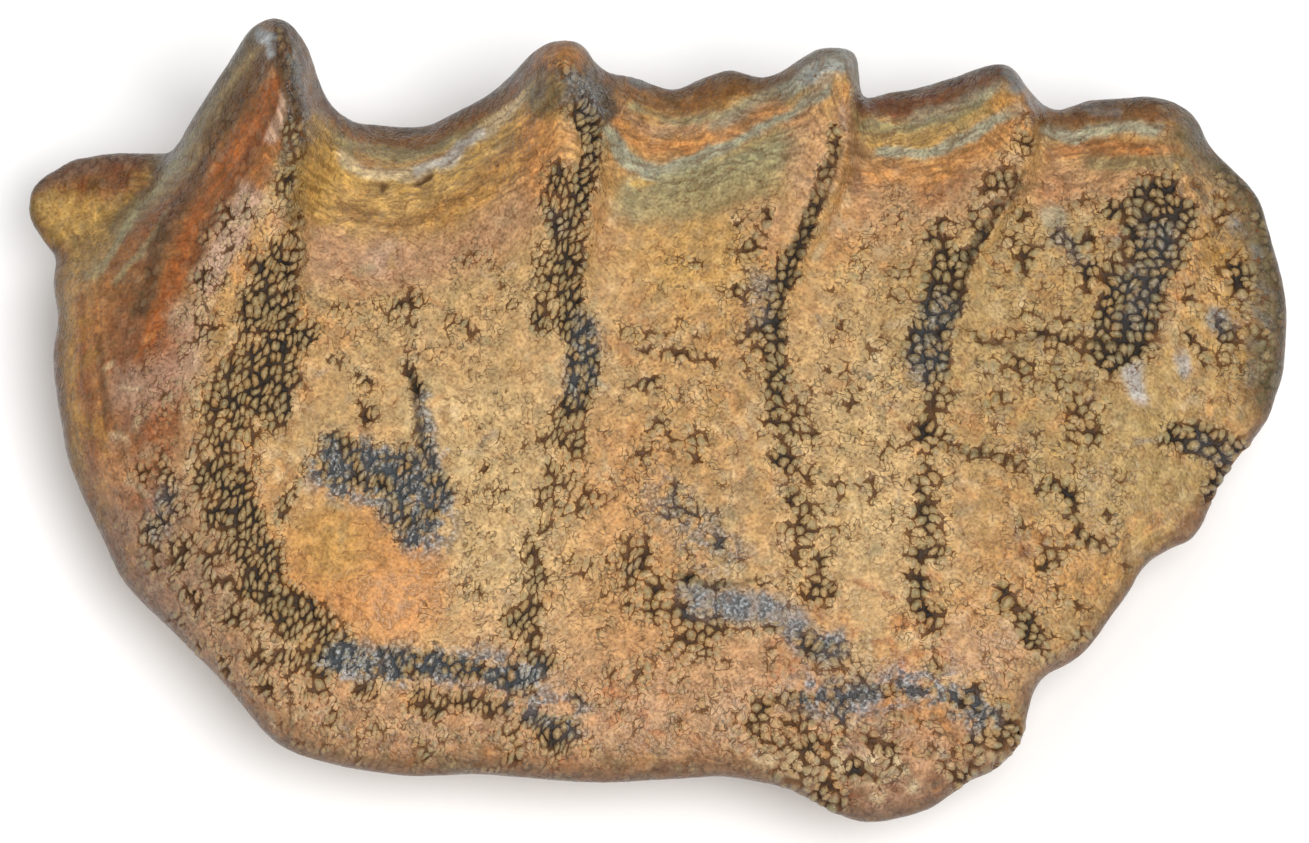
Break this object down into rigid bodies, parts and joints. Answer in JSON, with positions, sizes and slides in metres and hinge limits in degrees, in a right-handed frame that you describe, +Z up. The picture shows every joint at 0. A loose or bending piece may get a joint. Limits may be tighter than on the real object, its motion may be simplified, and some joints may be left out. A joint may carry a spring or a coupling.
{
  "type": "fossil ceratodus lungfish tooth",
  "caption": "Fossil lungfish tooth plate with cusped ridges running to its outer edge, lying crown up on its bony base.",
  "frame": {"origin": "under the middle of the plate, on the surface it rests on", "axes": "+X along the plate's length with the tallest cusp at -X, +Y towards the cusped outer side, +Z up through the crown"},
  "size_m": [0.0506, 0.0328, 0.013],
  "materials": {
    "fossil_dentine": "mineralised tooth and bone, tan to orange-brown with near-black pitted lanes along the ridges, banded brown, olive and blue-grey on the worn saddles, semi-gloss on the crown and matt on the bone"
  },
  "bodies": {
    "root": {"tooth_plate": "fossil_dentine"}
  },
  "joints": []
}
